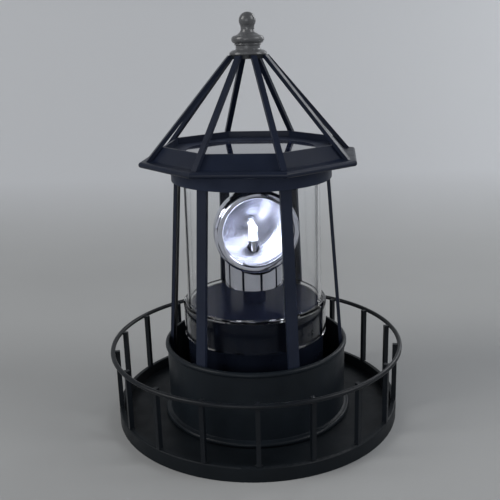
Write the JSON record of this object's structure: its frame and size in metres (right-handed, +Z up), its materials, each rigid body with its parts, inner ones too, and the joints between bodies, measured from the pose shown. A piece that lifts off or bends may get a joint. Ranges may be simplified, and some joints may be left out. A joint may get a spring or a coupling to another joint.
{
  "type": "solar garden lighthouse lamp",
  "caption": "Lighthouse-shaped solar garden lamp with railed tray, drum, clear lantern cover, turning spot head and open octagonal roof with finial.",
  "frame": {"origin": "centre of the footprint on the ground, on the lamp's vertical axis", "axes": "+Z up, the front flat of the octagonal roof faces -Y, +X to the viewer's right"},
  "size_m": [0.1649, 0.1648, 0.2211],
  "materials": {
    "black_gloss_metal": "gloss",
    "black_satin_metal": "satin",
    "navy_gloss_plastic": "gloss",
    "black_plastic": "matte",
    "clear_plastic": "polished",
    "gunmetal": "satin",
    "solar_cell": "polished",
    "mirror_chrome": "mirror",
    "lamp_epoxy": "gloss",
    "steel": "satin",
    "gear_nylon": "satin",
    "board_green": "satin",
    "cell_wrap": "gloss",
    "spring_steel": "satin",
    "lead_black": "matte",
    "switch_grey": "satin"
  },
  "bodies": {
    "base": {"tray": "black_satin_metal", "railing_ring": "black_satin_metal", "base_drum": "black_gloss_metal", "base_plate": "black_plastic", "lamp_housing": "navy_gloss_plastic", "deck": "navy_gloss_plastic", "clear_cover": "clear_plastic", "collar": "black_gloss_metal", "roof_brim": "black_gloss_metal", "roof_hub": "black_satin_metal", "finial": "gunmetal", "solar_panel": "solar_cell", "led": "lamp_epoxy", "led_post": "steel", "motor": "steel", "gear_plate": "black_plastic", "circuit_board": "board_green", "battery": "cell_wrap", "battery_contacts": "spring_steel", "battery_door": "black_plastic", "wiring": "lead_black", "screws": "steel", "baluster_1": "black_satin_metal", "baluster_2": "black_satin_metal", "baluster_3": "black_satin_metal", "baluster_4": "black_satin_metal", "baluster_5": "black_satin_metal", "baluster_6": "black_satin_metal", "baluster_7": "black_satin_metal", "baluster_8": "black_satin_metal", "baluster_9": "black_satin_metal", "baluster_10": "black_satin_metal", "baluster_11": "black_satin_metal", "baluster_12": "black_satin_metal", "baluster_13": "black_satin_metal", "baluster_14": "black_satin_metal", "baluster_15": "black_satin_metal", "baluster_16": "black_satin_metal", "baluster_17": "black_satin_metal", "baluster_18": "black_satin_metal", "post_1": "black_gloss_metal", "post_2": "black_gloss_metal", "post_3": "black_gloss_metal", "post_4": "black_gloss_metal", "post_5": "black_gloss_metal", "post_6": "black_gloss_metal", "roof_bar_1": "black_satin_metal", "roof_bar_2": "black_satin_metal", "roof_bar_3": "black_satin_metal", "roof_bar_4": "black_satin_metal", "roof_bar_5": "black_satin_metal", "roof_bar_6": "black_satin_metal", "roof_bar_7": "black_satin_metal", "roof_bar_8": "black_satin_metal"},
    "lamp": {"spot_head": "mirror_chrome", "reflector": "mirror_chrome", "drive_tube": "gear_nylon"},
    "idler": {"idler_gear": "gear_nylon"},
    "pinion": {"motor_pinion": "steel"},
    "power_switch": {"switch_knob": "switch_grey"}
  },
  "joints": [
    {"name": "lamp_spin", "type": "hinge", "parent": "base", "child": "lamp", "pos_m": [0, 0, 0.07], "axis": [0, 0, 1], "continuous": true},
    {"name": "idler_spin", "type": "hinge", "parent": "base", "child": "idler", "pos_m": [0, 0.0192, 0.05], "axis": [0, 0, 1], "continuous": true},
    {"name": "pinion_spin", "type": "hinge", "parent": "base", "child": "pinion", "pos_m": [0.017, 0.01464, 0.048], "axis": [0, 0, 1], "continuous": true},
    {"name": "switch_slide", "type": "slide", "parent": "base", "child": "power_switch", "axis": [1, 0, 0], "range_m": [0, 0.003]}
  ],
  "couplings": [
    {"joint": "idler_spin", "follows": "lamp_spin", "ratio": -3},
    {"joint": "pinion_spin", "follows": "lamp_spin", "ratio": 8}
  ]
}
